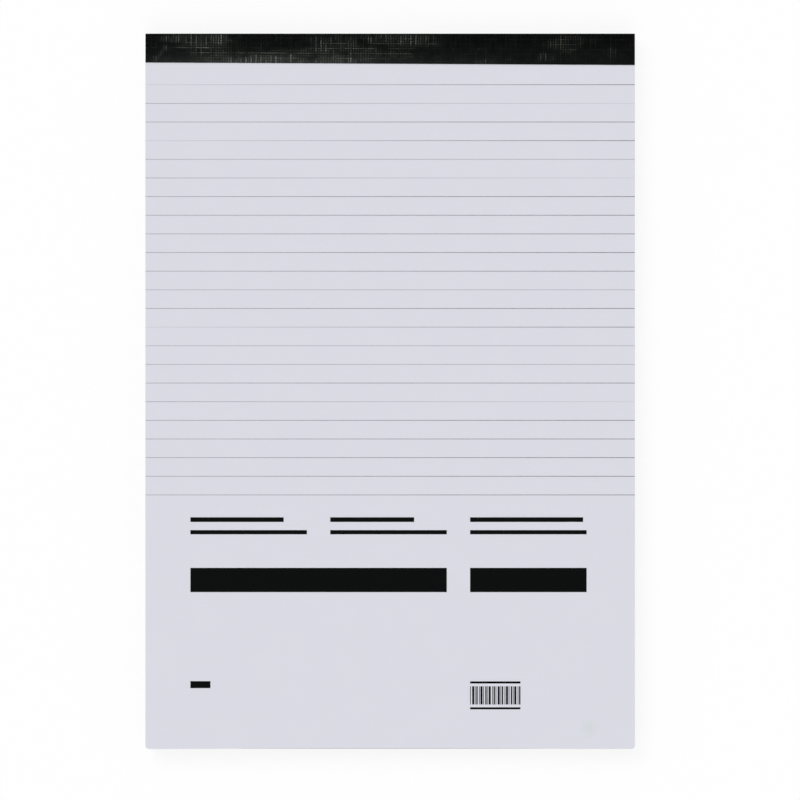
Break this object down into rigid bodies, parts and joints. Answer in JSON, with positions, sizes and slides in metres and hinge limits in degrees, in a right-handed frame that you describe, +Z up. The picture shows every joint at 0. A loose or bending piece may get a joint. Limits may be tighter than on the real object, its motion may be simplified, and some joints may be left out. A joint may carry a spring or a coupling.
{
  "type": "writing pad",
  "caption": "A4 head-bound ruled writing pad lying on its stiff backing board, with a printed cover sheet and a dark linen-embossed tape folded over the glued head.",
  "frame": {"origin": "on the underside of the backing board, under the middle of the pad's outline", "axes": "+X to the right across the page, +Y along the page to the bound head, +Z up out of the cover"},
  "size_m": [0.21, 0.307, 0.0092],
  "materials": {
    "greyboard": "uncoated grey board",
    "leaf_paper": "uncoated writing paper, cut edges",
    "cover_paper": "uncoated cool white paper",
    "glue": "dried padding glue",
    "tape": "black linen-embossed binding tape with a slight sheen",
    "line_ink": "thin grey printing ink",
    "title_ink": "black printing ink"
  },
  "bodies": {
    "root": {"backing_board": "greyboard", "sheet_block": "leaf_paper", "cover_sheet": "cover_paper", "head_glue": "glue", "binding_tape": "tape", "ruled_lines": "line_ink", "title_print": "title_ink"}
  },
  "joints": []
}
